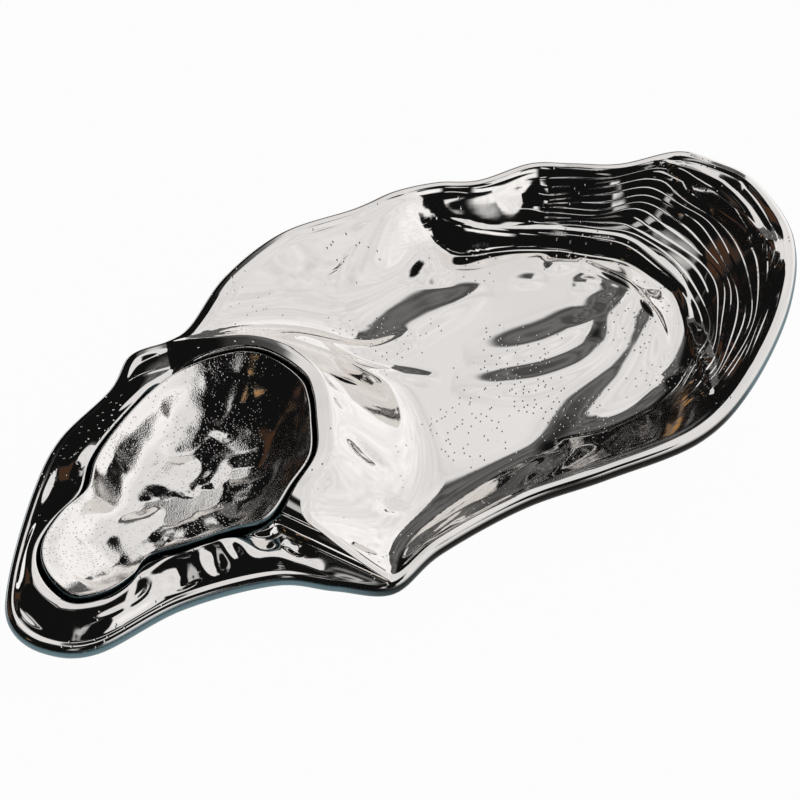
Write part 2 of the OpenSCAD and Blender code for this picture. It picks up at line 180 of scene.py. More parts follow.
def ease(x):
    t = np.clip(x, 0, 1)
    return t * t * (3 - 2 * t)


def rise(p, bend):
    """A floor that bends up into a straight wall: 0 at p = 0, 1 at p = 1."""
    x = np.clip(p / bend, 0, 1)
    return (bend * (x ** 3 - x ** 4 / 2) + np.maximum(p - bend, 0)) / (1 - bend / 2)


def spline(stations, u, closed):
    """Points of a smooth curve through the stations; u counts stations."""
    n = len(stations)
    i = np.floor(u).astype(int)
    if not closed:
        i = np.clip(i, 0, n - 2)
    t = (u - i)[:, None]
    a, b, c, d = (stations[(i + k) % n if closed else np.clip(i + k, 0, n - 1)] for k in (-1, 0, 1, 2))
    bend = 2 * a - 5 * b + 4 * c - d
    swing = 3 * b - a - 3 * c + d
    return (2 * b + (c - a) * t + bend * t ** 2 + swing * t ** 3) / 2


def even(stations, first, last, steps, closed):
    """Points at even distances along a stretch of a curve, both ends included."""
    fine = np.linspace(first, last, STRETCH_POINTS)
    points = spline(stations, fine, closed)
    run = np.concatenate([[0], np.cumsum(np.linalg.norm(np.diff(points[:, :2], axis=0), axis=1))])
    return spline(stations, np.interp(np.linspace(0, run[-1], steps + 1), run, fine), closed)


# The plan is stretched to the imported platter, and the levels of the stack are read from it
SHELL_LOW, SHELL_HIGH = (np.array(corner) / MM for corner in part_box("platter_shell"))
PLAN = spline(RIM, np.arange(len(RIM) * RIM_POINTS) / RIM_POINTS, True)
PLAN_LOW, PLAN_HIGH = PLAN.min(axis=0), PLAN.max(axis=0)
STRETCH = (SHELL_HIGH - SHELL_LOW)[:2] / (PLAN_HIGH - PLAN_LOW)[:2]
LIFT = SHELL_HIGH[2] / PLAN_HIGH[2]
for curve in (RIM, COLLAR, LIP):
    curve[:, 2] *= LIFT
BASE_Z = SHELL_LOW[2]
FLOOR_Z = BASE_Z + FLOOR_T
SEAT_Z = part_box("bowl_bumper_1")[0][2] / MM
BOWL_FOOT_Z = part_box("dip_bowl")[0][2] / MM
BOWL_FLOOR_Z = BOWL_FOOT_Z + BOWL_FLOOR_T
PAD_H = BOWL_FOOT_Z - SEAT_Z


def placed(x, y, z):
    """Plan points in millimetres as points of the frame in metres."""
    plan = np.stack([x, y], axis=-1)
    middle = (PLAN_LOW + PLAN_HIGH)[:2] / 2
    flat = (plan - middle) * STRETCH
    return np.concatenate([flat, np.asarray(z)[..., None]], axis=-1) * MM


def angle_about(p, middle):
    return np.degrees(np.arctan2(p[..., 1] - middle[1], p[..., 0] - middle[0])) % 360


# Relief
def beside(x, y, stations, reach):
    """Which places lie within reach of a line, how far to its left, and the line's sizes beside them."""
    u = np.linspace(0, len(stations) - 1, FOLD_POINTS * len(stations))
    line = spline(np.array(stations, float), u, False)
    low, high = line[:, :2].min(axis=0) - reach, line[:, :2].max(axis=0) + reach
    near = (x > low[0]) & (x < high[0]) & (y > low[1]) & (y < high[1])
    p = np.stack([x[near], y[near]], axis=-1)[:, None]
    start, step = line[:-1], np.diff(line, axis=0)
    along = ((p - start[:, :2]) * step[:, :2]).sum(axis=2) / (step[:, :2] ** 2).sum(axis=1)
    along = np.clip(along, 0, 1)[..., None]
    off = p - start[:, :2] - along * step[:, :2]
    gap = np.linalg.norm(off, axis=2)
    k = gap.argmin(axis=1)
    row = np.arange(len(k))
    left = step[k, 0] * off[row, k, 1] > step[k, 1] * off[row, k, 0]
    return near, np.where(left, 1, -1) * gap[row, k], start[k, 2:] + along[row, k] * step[k, 2:]


# How many half widths away a fold is still felt
FOLD_REACH = 3


def fold(x, y, stations):
    """Height of one rounded fold that runs along its stations."""
    height = np.zeros_like(x)
    near, gap, size = beside(x, y, stations, FOLD_REACH * max(max(station[3:]) for station in stations))
    height[near] = size[:, 0] * np.exp(-(gap / np.where(gap > 0, size[:, -1], size[:, 1])) ** 2)
    return height


# Ledges: slope of the face, rounding of its top and of its foot, width of the cut below it,
# how far the top runs level, its slope beyond that, and how far away a ledge is still felt
LEDGE_SLOPE, LEDGE_ROUND, LEDGE_BLEND, LEDGE_CUT = 2.2, 1.5, 0.6, 6
LEDGE_FLAT, LEDGE_LEAN, LEDGE_REACH = 5, 0.3, 60


def over_ledge(x, y, z, stations):
    """Heights raised to a level ledge that stands on a steep face."""
    near, gap, size = beside(x, y, stations, LEDGE_REACH)
    top = size[:, 0] + LEDGE_LEAN * np.maximum(0, gap - LEDGE_FLAT)
    cut = size[:, 1]
    below = z[near] - (z[near] - FLOOR_Z) * cut * ease(-gap / LEDGE_CUT)
    apart = top - LEDGE_SLOPE * (np.hypot(gap, LEDGE_ROUND) - gap) / 2 - below
    raised = z.copy()
    raised[near] = below + (apart + np.hypot(apart, LEDGE_BLEND)) / 2
    return raised


def hollow(x, y, middle, axes, turn, depth):
    """Height of one oval hollow, or of a swell where its depth is negative."""
    c, s = math.cos(math.radians(turn)), math.sin(math.radians(turn))
    dx, dy = x - middle[0], y - middle[1]
    return -depth * np.exp(-((dx * c + dy * s) / axes[0]) ** 2 - ((dy * c - dx * s) / axes[1]) ** 2)


def relief(x, y, folds, hollows):
    return sum(fold(x, y, stations) for stations in folds) + sum(hollow(x, y, *dent) for dent in hollows)


BASIN_FOLDS = FAN_SHELVES + TONGUE + FLOOR_SWELLS + NEAR_FOLDS


def with_land(z, edge_z):
    """A wall whose top turns over, in a small round, to the level of its edge."""
    return z + LAND_ROUND - LAND_ROUND ** 2 / (np.maximum(edge_z - z, 0) + LAND_ROUND)


# The dip bowl and the seat that follows its underside
LIP_FINE = spline(LIP, np.linspace(0, len(LIP), LIP_POINTS, endpoint=False), True)
LIP_ANGLE = angle_about(LIP_FINE, SEAT_MID)
LIP_ORDER = np.argsort(LIP_ANGLE)


def lip_at(a):
    """Radius and height of the lip at an angle round the middle of the seat."""
    reach = np.linalg.norm(LIP_FINE[:, :2] - SEAT_MID, axis=1)
    radius = np.interp(a, LIP_ANGLE[LIP_ORDER], reach[LIP_ORDER], period=360)
    height = np.interp(a, LIP_ANGLE[LIP_ORDER], LIP_FINE[LIP_ORDER, 2], period=360)
    return radius, height


# Shares of the way to the lip over which the bowl's floor is flat, and of the rest over which it bends up
BOWL_FLAT, BOWL_BEND = 0.45, 0.8


def bowl_in(s, lip_z):
    return BOWL_FLOOR_Z + (lip_z - BOWL_FLOOR_Z) * rise((s - BOWL_FLAT) / (1 - BOWL_FLAT), BOWL_BEND)


def bowl_out(s, lip_z):
    return np.maximum(BOWL_FOOT_Z, bowl_in(s, lip_z) - BOWL_T)


# The free side of the bowl runs from the back notch to the front notch, with an ease in degrees at each
FREE_FROM, FREE_TO = (angle_about(RIM[k], SEAT_MID) for k in (0, FRONT_NOTCH))
BACK_EASE, FRONT_EASE = 20, 35


def free_side(a):
    return ease((a - FREE_FROM) / BACK_EASE) * ease((FREE_TO - a) / FRONT_EASE)


def seat_in_z(s, a):
    """The seat under the bowl, which sinks to the moat at the lip of the free side."""
    return np.maximum(SEAT_Z, bowl_out(s, lip_at(a)[1]) - PAD_H - MOAT_D * free_side(a) * s ** 4)


# The shoulder's share of the way to the rim and its drop below the lip; width of the climb to the collar
SHOULDER_AT, SHOULDER_DROP = 0.14, 1.5
CREST_W = 4.0


def seat_out_z(w, a, edge_z, margin):
    """The surround climbs beside the lip, to a shoulder that falls to the rim or straight to the collar."""
    start = seat_in_z(np.ones_like(w), a)
    plain = start + (edge_z - start) * ease(w * margin / CREST_W)
    crown = lip_at(a)[1] - SHOULDER_DROP
    up = start + (crown - start) * ease(w / SHOULDER_AT)
    down = np.maximum(0, w - SHOULDER_AT) / (1 - SHOULDER_AT)
    shoulder = np.where(w < SHOULDER_AT, up, crown + (edge_z - crown) * down ** 2 * (3 - down) / 2)
    return plain + (shoulder - plain) * free_side(a)


# Columns of the meshes round the rim of the fan, the rim of the dip end and the collar
FAN_COLS, DIP_COLS, COLLAR_COLS = 240, 180, 150
# Growth lines of the fan: their count, the tread's share of each and the rows that draw one line
LINE_COUNT = 15
TREAD = 0.2
LINE_PARTS = [0, 0.03, 0.17, 0.2, 0.34, 0.9]
# Rows of the meshes from the middle of each dish to its edge, and round an edge
MIDDLE_ROWS, FLOOR_ROWS = 40, 80
BASIN_ROWS = FLOOR_ROWS + LINE_COUNT * len(LINE_PARTS)
SEAT_ROWS, MOAT_ROWS = 8, 38
DIP_ROWS = SEAT_ROWS + MOAT_ROWS
EDGE_ROWS = 6
# Rows that the underside repeats
BASIN_UNDER = np.r_[0:MIDDLE_ROWS:10, MIDDLE_ROWS:FLOOR_ROWS:4, FLOOR_ROWS:BASIN_ROWS + 1:15]
DIP_UNDER = np.r_[0:SEAT_ROWS:4, SEAT_ROWS:DIP_ROWS + 1:6, DIP_ROWS]
# How far the columns of the dip seat are spaced out evenly, since its collar runs straight at the middle
COLUMN_SPREAD = 0.1

# Loops of points round the two dishes
rim_dip = even(RIM, 0, FRONT_NOTCH, DIP_COLS, True)
rim_fan = even(RIM, FRONT_NOTCH, len(RIM), FAN_COLS, True)
rim_loop = np.concatenate([rim_dip[:-1], rim_fan[:-1]])
tangent = np.roll(rim_loop, -1, axis=0)[:, :2] - np.roll(rim_loop, 1, axis=0)[:, :2]
inward = np.stack([-tangent[:, 1], tangent[:, 0]], axis=1) / np.linalg.norm(tangent, axis=1)[:, None]
rim_top = rim_loop.copy()
rim_top[:, :2] += inward * RIM_ROUND
crest = COLLAR.copy()
crest[0], crest[-1] = rim_top[DIP_COLS], rim_top[0]
collar = even(crest, 0, len(crest) - 1, COLLAR_COLS, False)
dip_edge = np.concatenate([rim_top[:DIP_COLS], collar])
basin_edge = np.concatenate([rim_top[DIP_COLS:], collar[::-1]])
on_collar = np.concatenate([np.zeros(FAN_COLS), np.sin(np.linspace(0, np.pi, COLLAR_COLS + 1))])
edge_angle = angle_about(basin_edge, BASIN_MID)
edge_reach = np.linalg.norm(basin_edge[:, :2] - BASIN_MID, axis=1)
# Share of the basin's wall that bends up from the floor, and how far the wall runs in from the edge,
# by the angle round the middle
WALL_BEND = 0.4
WALL_TURN = [0, 15, 30, 42, 60, 75, 86, 100, 140, 180, 205, 215, 222, 232, 241, 252, 268, 283, 302, 323]
WALL_RUN = [48, 44, 30, 25, 24, 25, 36, 42, 46, 60, 46, 30, 26, 28, 38, 50, 54, 50, 44, 46]
# Square of the least distance at which a stretch of the edge counts
NEAREST = 1e-4


def inside_edge(x, y):
    """Depth of places inside the basin's edge, and the height and wall length of the edge round them.

    Every stretch of the edge counts by the cube of its nearness, so the result is smooth all over.
    """
    dx, dy = basin_edge[:, 0] - x[:, None], basin_edge[:, 1] - y[:, None]
    r = np.hypot(dx, dy)
    step = np.diff(basin_edge, axis=0)
    run = np.hypot(step[:, 0], step[:, 1])
    start = (dx[:, :-1] * step[:, 0] + dy[:, :-1] * step[:, 1]) / run
    away = np.maximum(r[:, :-1] ** 2 - start ** 2, NEAREST)
    pull = ((start + run) / r[:, 1:] - start / r[:, :-1]) / away
    lean = 1 / r[:, :-1] - 1 / r[:, 1:]
    total = pull.sum(axis=1)

    def mean(values):
        slope = np.diff(values) / run
        return ((values[:-1] - start * slope) * pull + slope * lean).sum(axis=1) / total

    wall_run = np.interp(edge_angle, WALL_TURN, WALL_RUN, period=360)
    return np.sqrt(2 / total), mean(basin_edge[:, 2]), mean(wall_run)


# Loop on the plan from which the growth lines of the fan climb to the rim
LINE_FOOT = np.array([
    [127, 60], [142, 47], [153, 34], [163, 20], [166, 2], [166, -18], [158, -38], [140, -58], [112, -72],
    [70, -76], [20, -66], [-20, -48], [-34, 0], [-20, 56], [14, 84], [56, 86], [92, 82], [112, 70],
], float)
# Growth lines: least and greatest share of the way to the rim at their foot, share of the way that the
# middle rows reach, over how many lines the sway comes in, and how level the treads are
LINE_START, MIDDLE_SHARE, SWAY_LINES, TREAD_LEVEL = (0.6, 0.85), 0.5, 2, 0.9
# Turn in radians at which the treads begin and end, with an ease at each
TREADS_FROM, TREADS_TO = -1.15, 0.66
FROM_EASE, TO_EASE = 0.3, 0.12
# Waves: how far each swings, how often it goes up and down in a turn, its start and its shift between lines
SWAY_WAVES = [(0.5, 3, 1, 0), (0.35, 7, 0, -0.7), (0.25, 13, 0, 1.1)]
TREAD_WAVES = [(0.25, 4, 0, 2.3), (0.2, 11, 0, 5.1)]
END_WAVES = [(0.06, 0, 0, 2.9)]
line_row = np.concatenate([n + np.array(LINE_PARTS) for n in range(LINE_COUNT)] + [[LINE_COUNT]])[:, None]
line_turn = np.radians((edge_angle + 180) % 360 - 180)


def waves(parts, line):
    """Sum of the waves on the given lines, at the turn of every column."""
    return sum(swing * np.sin(count * line_turn + start + shift * line)
               for swing, count, start, shift in parts)


def line_shares():
    """How far out each row lies along each column; the outer rows run with the growth lines."""
    foot = spline(LINE_FOOT, np.linspace(0, len(LINE_FOOT), FOOT_POINTS), True)
    turn = angle_about(foot, BASIN_MID)
    order = np.argsort(turn)
    reach = np.linalg.norm(foot - BASIN_MID, axis=1)
    foot_reach = np.interp(edge_angle, turn[order], reach[order], period=360)
    start = np.clip(foot_reach / edge_reach, *LINE_START)
    ends = np.minimum(1, np.minimum(line_row, LINE_COUNT - line_row) / SWAY_LINES)
    outer = start + (1 - start) * (line_row + waves(SWAY_WAVES, line_row) * ends) / LINE_COUNT
    row = np.arange(FLOOR_ROWS)[:, None]
    inner = MIDDLE_SHARE * np.minimum(1, row / MIDDLE_ROWS)
    inner = inner + (start - MIDDLE_SHARE) * np.maximum(0, (row - MIDDLE_ROWS) / (FLOOR_ROWS - MIDDLE_ROWS))
    return np.concatenate([inner, outer])


def growth_lines(z):
    """How far the fan's surface is moved to make a narrow level tread at every growth line."""
    line = np.minimum(np.floor(line_row), LINE_COUNT - 1)
    part = line_row - line
    level = (line + np.maximum(0, (part - TREAD) / (1 - TREAD)))[:, 0]
    above = np.clip(np.searchsorted(line_row[:, 0], level), 1, len(line_row) - 1)
    share = ((level - line_row[above - 1, 0]) / (line_row[above, 0] - line_row[above - 1, 0]))[:, None]
    outer = z[FLOOR_ROWS:]
    stepped = outer[above - 1] + (outer[above] - outer[above - 1]) * share
    flat = TREAD_LEVEL + waves(TREAD_WAVES, line)
    begin = ease((line_turn - TREADS_FROM) / FROM_EASE)
    end = ease((TREADS_TO - line_turn + waves(END_WAVES, line)) / TO_EASE)
    moved = np.zeros_like(z)
    moved[FLOOR_ROWS:] = (stepped - outer) * flat * begin * end
    return moved


def basin_points():
    """Plan places and heights of the basin, from its middle to its edge."""
    s = line_shares()
    x, y = (BASIN_MID[k] + s * (basin_edge[:, k] - BASIN_MID[k]) for k in (0, 1))
    fields = np.array([inside_edge(*places) for places in zip(x[:-1], y[:-1])])
    depth, height, length = (np.concatenate([fields[:, k], last]) for k, last in
                             enumerate((0 * x[:1], basin_edge[None, :, 2], 1 + 0 * x[:1])))
    climb = 1 - np.maximum(0, depth - LAND_W) / length
    z = FLOOR_Z + (height - FLOOR_Z) * rise(climb, WALL_BEND)
    for stations in LEDGES:
        z = over_ledge(x, y, z, stations)
    z = np.minimum(z, height)
    shaped = relief(x, y, BASIN_FOLDS, BASIN_HOLLOWS) + growth_lines(z)
    z += shaped * ease((depth - LAND_W) / BASIN_EASE)
    z -= (1 - on_collar) * GROOVE_D * np.exp(-((depth - GROOVE_IN) / GROOVE_W) ** 2)
    return x, y, with_land(z, height)


def dip_points():
    """Plan places and heights of the dip seat and its surround, from the middle to the edge."""
    row = np.arange(DIP_ROWS + 1)[:, None]
    s, w = np.minimum(1, row / SEAT_ROWS), np.maximum(0, (row - SEAT_ROWS) / MOAT_ROWS)
    a = np.unwrap(angle_about(dip_edge, SEAT_MID), period=360)
    a = a + COLUMN_SPREAD * (np.linspace(a[0], a[-1], len(a)) - a)
    toward = np.stack([np.cos(np.radians(a)), np.sin(np.radians(a))], axis=1)
    lip = SEAT_MID + lip_at(a)[0][:, None] * toward
    x, y = (SEAT_MID[k] + s * (lip[:, k] - SEAT_MID[k]) + w * (dip_edge[:, k] - lip[:, k]) for k in (0, 1))
    turn = np.broadcast_to(a, x.shape)
    margin = np.linalg.norm(dip_edge[:, :2] - lip, axis=1)
    land = np.minimum(LAND_W, margin * LAND_SHARE)
    climb = np.minimum(1, w * margin / (margin - land))
    z = np.where(s < 1, seat_in_z(s, turn), seat_out_z(climb, turn, dip_edge[:, 2], margin))
    inside = (1 - w) * margin
    shaped = relief(x, y, SURROUND_FOLDS, SURROUND_HOLLOWS)
    z += shaped * ease((inside - land) / SURROUND_EASE) * ease(w * margin / SURROUND_EASE)
    return x, y, np.where(w > 0, with_land(z, dip_edge[:, 2]), z)


def lay_grid(bm, points, outer, layer):
    """Lays a grid into bm through rows of points, and marks how far it is on the outside."""
    rows, cols = points.shape[0] - 1, points.shape[1] - 1
    made = bmesh.ops.create_grid(bm, x_segments=cols, y_segments=rows, size=0.5)["verts"]
    for v in made:
        i, j = round((v.co.y + 0.5) * rows), round((v.co.x + 0.5) * cols)
        v.co = points[i, j]
        v[layer] = outer[i]


def under(points):
    """The underside below rows of points; along their edge it lies a rim's thickness down."""
    x, y, z = points
    thick = np.full((len(z), 1), PLATTER_T)
    thick[-1] = RIM_T
    return placed(x, y, np.maximum(BASE_Z, z - thick))


# How far the steps round an edge are on the outside, from the polished top to below
EDGE_OUTER = np.linspace(-0.2, 2.4, EDGE_ROWS + 1)
# Distance in metres within which points are welded
WELD = 2e-6


def half_round(radius):
    """Steps round an edge: how far each one lies outside, and its share of the way down."""
    turn = np.linspace(0, np.pi, EDGE_ROWS + 1)[:, None]
    out = np.sin(turn) * radius
    out[-1] = 0
    return out, (1 - np.cos(turn)) / 2


def rim_edge(top_z):
    """The half round edge from the top of the rim to the underside."""
    out, down = half_round(RIM_ROUND)
    loop = np.append(np.arange(len(rim_top)), 0)
    x, y = (rim_top[loop, k] - out * inward[loop, k] for k in (0, 1))
    low_z = np.maximum(BASE_Z, top_z - RIM_T)
    return placed(x, y, top_z + (low_z - top_z) * down)


def finish_mesh(bm, name, material):
    """Welds a mesh along its seams, turns its faces outwards and makes it an object."""
    bmesh.ops.remove_doubles(bm, verts=bm.verts, dist=WELD)
    bmesh.ops.recalc_face_normals(bm, faces=bm.faces)
    for face in bm.faces:
        face.smooth = True
    mesh = bpy.data.meshes.new(name)
    bm.to_mesh(mesh)
    bm.free()
    mesh.materials.append(material)
    piece = bpy.data.objects.new(name, mesh)
    bpy.context.scene.collection.objects.link(piece)
    return piece


def make_platter(material):
    bm = bmesh.new()
    layer = bm.verts.layers.float.new("outer")
    basin, dip = basin_points(), dip_points()
    top_z = np.concatenate([dip[2][-1, :DIP_COLS], basin[2][-1, :FAN_COLS], dip[2][-1, :1]])
    for dish in (basin, dip):
        lay_grid(bm, placed(*dish), np.zeros(len(dish[2])), layer)
    lay_grid(bm, rim_edge(top_z), EDGE_OUTER, layer)
    for dish, rows in ((basin, BASIN_UNDER), (dip, DIP_UNDER)):
        lay_grid(bm, under([part[rows] for part in dish]), np.ones(len(rows)), layer)
    return finish_mesh(bm, "oyster_platter", material)


# Columns round the bowl, rows of its inside and of its outside
BOWL_COLS, BOWL_ROWS = 300, 90
BOWL_OUT_ROWS = BOWL_ROWS // 4
# Hammer marks: count and seed, ranges of their places, sizes and roundness, depth by size, greatest height,
# and the share of the way to the lip over which they fade
DENT_COUNT, DENT_SEED = 150, 11
DENT_PLACE, DENT_SIZE, DENT_ROUND = (0.05, 0.95), (3.5, 9), (0.6, 1)
DENT_DEPTH, DENT_LIMIT, DENT_EASE = 0.14, 1.5, 0.12
lip_loop = even(LIP, 0, len(LIP), BOWL_COLS, True)
lip_off = lip_loop[:, :2] - SEAT_MID
lip_reach = np.linalg.norm(lip_off, axis=1)


def bowl_points(s, height):
    """Plan places and heights of one side of the bowl, at shares of the way to its lip."""
    share = s * (1 - LIP_ROUND / lip_reach)
    x, y = (SEAT_MID[k] + share * lip_off[:, k] for k in (0, 1))
    return x, y, height(s, lip_loop[:, 2])


def hammer_marks(x, y):
    """Shallow seeded dents all over the inside of the bowl."""
    chance = np.random.default_rng(DENT_SEED)
    marks = np.zeros_like(x)
    for _ in range(DENT_COUNT):
        middle = LIP_FINE[chance.integers(len(LIP_FINE)), :2]
        middle = SEAT_MID + (middle - SEAT_MID) * chance.uniform(*DENT_PLACE)
        size = chance.uniform(*DENT_SIZE)
        axes = (size, size * chance.uniform(*DENT_ROUND))
        marks += hollow(x, y, middle, axes, chance.uniform(0, 180), DENT_DEPTH * size)
    return np.clip(marks - marks.mean(), -DENT_LIMIT, DENT_LIMIT)


def make_bowl(material):
    bm = bmesh.new()
    layer = bm.verts.layers.float.new("outer")
    s, s_out = (np.linspace(0, 1, rows + 1)[:, None] for rows in (BOWL_ROWS, BOWL_OUT_ROWS))
    x, y, z = bowl_points(s, bowl_in)
    z = z + hammer_marks(x, y) * ease((1 - s) / DENT_EASE)
    lay_grid(bm, placed(x, y, z), np.zeros(len(s)), layer)
    outside = bowl_points(s_out, bowl_out)
    lay_grid(bm, placed(*outside), np.ones(len(s_out)), layer)
    out, down = half_round(LIP_ROUND)
    share = 1 + (out - LIP_ROUND) / lip_reach
    lip_x, lip_y = (SEAT_MID[k] + share * lip_off[:, k] for k in (0, 1))
    lip_z = z[-1] + (outside[2][-1] - z[-1]) * down
    lay_grid(bm, placed(lip_x, lip_y, lip_z), EDGE_OUTER, layer)
    return finish_mesh(bm, "hammered_dip_bowl", material)


class Wire:
    """A shader socket that can take part in sums."""

    def __init__(self, tree, socket):
        self.tree, self.socket = tree, socket

    def node(self, kind, settings, sockets, out=0):
        return add_node(self.tree, kind, settings, sockets, out)

    def math(self, operation, first, second=0.0):
        return self.node("ShaderNodeMath", {"operation": operation}, {0: first, 1: second})

    def __add__(self, other):
        return self.math("ADD", self, other)

    __radd__ = __add__

    def __mul__(self, other):
        return self.math("MULTIPLY", self, other)

    __rmul__ = __mul__

    def __sub__(self, other):
        return self.math("SUBTRACT", self, other)

    def __rsub__(self, other):
        return self.math("SUBTRACT", other, self)


def add_node(tree, kind, settings, sockets, out=0):
    node = tree.nodes.new(kind)
    for name, value in settings.items():
        setattr(node, name, value)
    for key, value in sockets.items():
        if isinstance(value, Wire):
            tree.links.new(value.socket, node.inputs[key])
        else:
            node.inputs[key].default_value = value
    return Wire(tree, node.outputs[out])


def ramp(value, low, high, to_low=0.0, to_high=1.0):
    """A smooth step of a value from one level to another."""
    sockets = {0: value, 1: low, 2: high, 3: to_low, 4: to_high}
    return value.node("ShaderNodeMapRange", {"interpolation_type": "SMOOTHSTEP"}, sockets)


def new_material(name):
    material = bpy.data.materials.new(name)
    material.use_nodes = True
    tree = material.node_tree
    tree.nodes.clear()
    return material, tree, tree.nodes.new("ShaderNodeOutputMaterial")


def noise(place, per_metre, detail=2.0):
    return place.node("ShaderNodeTexNoise", {}, {"Vector": place, "Scale": per_metre, "Detail": detail})


def blend(share, first, second):
    """A colour between two others."""
    return share.node("ShaderNodeMix", {"data_type": "RGBA"}, {0: share, 6: first, 7: second}, 2)


# Pits: their clusters per metre and how a cluster comes in, softness of the choice of cells, reach of a pit
# within its cell, and its depth in millimetres
CLUSTERS, CLUSTER_LEVELS = 22.0, (0.45, 0.7)
PIT_SOFT, PIT_REACH, PIT_D = 0.05, (0.02, 0.2), 0.22


def pits(place, per_metre, few, many):
    """Small casting pits, in clusters: how deep the surface is at each place, in millimetres."""
    cells = {"voronoi_dimensions": "2D"}
    sockets = {"Vector": place, "Scale": per_metre}
    gap = place.node("ShaderNodeTexVoronoi", cells, sockets, "Distance")
    lot = place.node("ShaderNodeTexVoronoi", cells, sockets, "Color")
    crowd = ramp(noise(place, CLUSTERS), *CLUSTER_LEVELS, few, many)
    picked = ramp(crowd - lot, 0.0, PIT_SOFT)
    return ramp(gap, *PIT_REACH, 1.0, 0.0) * picked * PIT_D


# Metal: colours of the polished top, of the outside, which is a painted reflection of dark teal
# surroundings, and of the painted shade along its middle, and the marks between which the outside comes in
MIRROR = (0.92, 0.89, 0.865, 1)
OUTSIDE_REFLECTION = (0.13, 0.2, 0.225, 1)
PAINTED_SHADE = (0.02, 0.018, 0.016, 1)
OUTSIDE_LEVELS = (0.2, 0.6)
# Waves of the polish per metre and their height in millimetres; grain and patches of grain per metre
POLISH_WAVES, WAVE_H = 55.0, 0.05
GRAIN, GRAIN_DETAIL, GRAIN_PATCHES, GRAIN_LEVELS = 1500.0, 1.0, 60.0, (0.4, 0.65, 0.25, 1.0)
# Where the painted shade on the outside begins and ends along the platter in metres, how far its ends
# wander and how often
PAINTED_SHADE_FROM, PAINTED_SHADE_TO = (-0.09, -0.03), (0.12, 0.17)
PAINTED_SHADE_WANDER, PAINTED_SHADE_WAVES = 0.05, 30.0
# Roughness of the polish, what a hazy patch adds, such patches per metre, and what the outside adds
POLISH, HAZE, HAZE_PATCHES, DULL = 0.03, 0.03, 40.0, 0.3


def metal(name, grain, pitting):
    """Mirror-polished casting on top, dull outside with a painted dark teal reflection and painted shade;
    grain is the height of its rough skin.
    """
    material, tree, out = new_material(name)
    place = add_node(tree, "ShaderNodeTexCoord", {}, {}, "Object")
    mark = add_node(tree, "ShaderNodeAttribute", {"attribute_name": "outer"}, {}, "Fac")
    outer = ramp(mark, *OUTSIDE_LEVELS)
    skin = noise(place, GRAIN, GRAIN_DETAIL) * ramp(noise(place, GRAIN_PATCHES), *GRAIN_LEVELS) * grain
    height = noise(place, POLISH_WAVES) * WAVE_H + skin - pits(place, *pitting)
    bump = add_node(tree, "ShaderNodeBump", {}, {"Strength": 1.0, "Distance": MM, "Height": height})
    length = add_node(tree, "ShaderNodeSeparateXYZ", {}, {0: place}, "X")
    # Painted shade: the outside turns near black along the middle of the platter's length
    along = length + PAINTED_SHADE_WANDER * noise(place, PAINTED_SHADE_WAVES)
    dark = ramp(along, *PAINTED_SHADE_FROM) * ramp(along, *PAINTED_SHADE_TO, 1.0, 0.0)
    # The outside takes a painted reflection of dark teal surroundings and, along its middle, painted shade
    colour = blend(outer, MIRROR, blend(dark, OUTSIDE_REFLECTION, PAINTED_SHADE))
    rough = POLISH + HAZE * noise(place, HAZE_PATCHES) + outer * DULL
    sockets = {"Base Color": colour, "Metallic": 1.0, "Roughness": rough, "Normal": bump}
    surface = add_node(tree, "ShaderNodeBsdfPrincipled", {}, sockets)
    tree.links.new(surface.socket, out.inputs["Surface"])
    return material


# Silicone: its colours, clouds per metre, roughness and what a cloud adds, grain per metre and its height
CLEAR, CLOUDY = (0.62, 0.63, 0.62, 1), (0.78, 0.79, 0.78, 1)
CLOUDS, SOFT_ROUGH, CLOUD_ROUGH = 300.0, 0.45, 0.2
SOFT_GRAIN, SOFT_GRAIN_H = 2500.0, 0.05


def rubber(name):
    material, tree, out = new_material(name)
    place = add_node(tree, "ShaderNodeTexCoord", {}, {}, "Object")
    cloud = noise(place, CLOUDS)
    height = noise(place, SOFT_GRAIN) * SOFT_GRAIN_H
    bump = add_node(tree, "ShaderNodeBump", {}, {"Distance": MM, "Height": height})
    rough = SOFT_ROUGH + CLOUD_ROUGH * cloud
    sockets = {"Base Color": blend(cloud, CLEAR, CLOUDY), "Roughness": rough, "Normal": bump}
    surface = add_node(tree, "ShaderNodeBsdfPrincipled", {}, sockets)
    tree.links.new(surface.socket, out.inputs["Surface"])
    return material


# Finishes: height of the grain; pits per metre, and how many cells hold one outside and inside the clusters
polished = metal("polished_metal", 0.0, (330.0, 0.08, 0.5))
hammered = metal("hammered_metal", 0.09, (620.0, 0.25, 0.9))
silicone = rubber("silicone")

platter = make_platter(polished)
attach(platter, "platter")
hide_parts("platter_shell")
bowl = make_bowl(hammered)
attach(bowl, "dip_bowl")
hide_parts("dip_bowl")
for name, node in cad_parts.items():
    if "bumper" in name:
        node.data.materials.clear()
        node.data.materials.append(silicone)


# Studio, laid out by direction in degrees: a broad white panel with a side panel and a card next to it,
# a grey wall, a wooden door, a pale backdrop below, and a dark room with lamps and a bulb
PANEL_AZIMUTH = (-90, 58.5)
PANEL_SOFT, FOOT_SOFT, HEAD_SOFT = 1.2, 1.5, 2.0
# The panel's foot climbs at its far and near ends, its head falls at its near end and its far edge leans:
# each has the direction where that begins, and a slope; those of the near end count azimuth the other way
FOOT, FOOT_TOP, HEAD = -4.0, 39.0, 74.0
FOOT_FAR, FOOT_NEAR, HEAD_NEAR, LEAN = (41.0, 7.0), (45.0, 0.55), (20.0, 0.25), (47.0, 0.8)
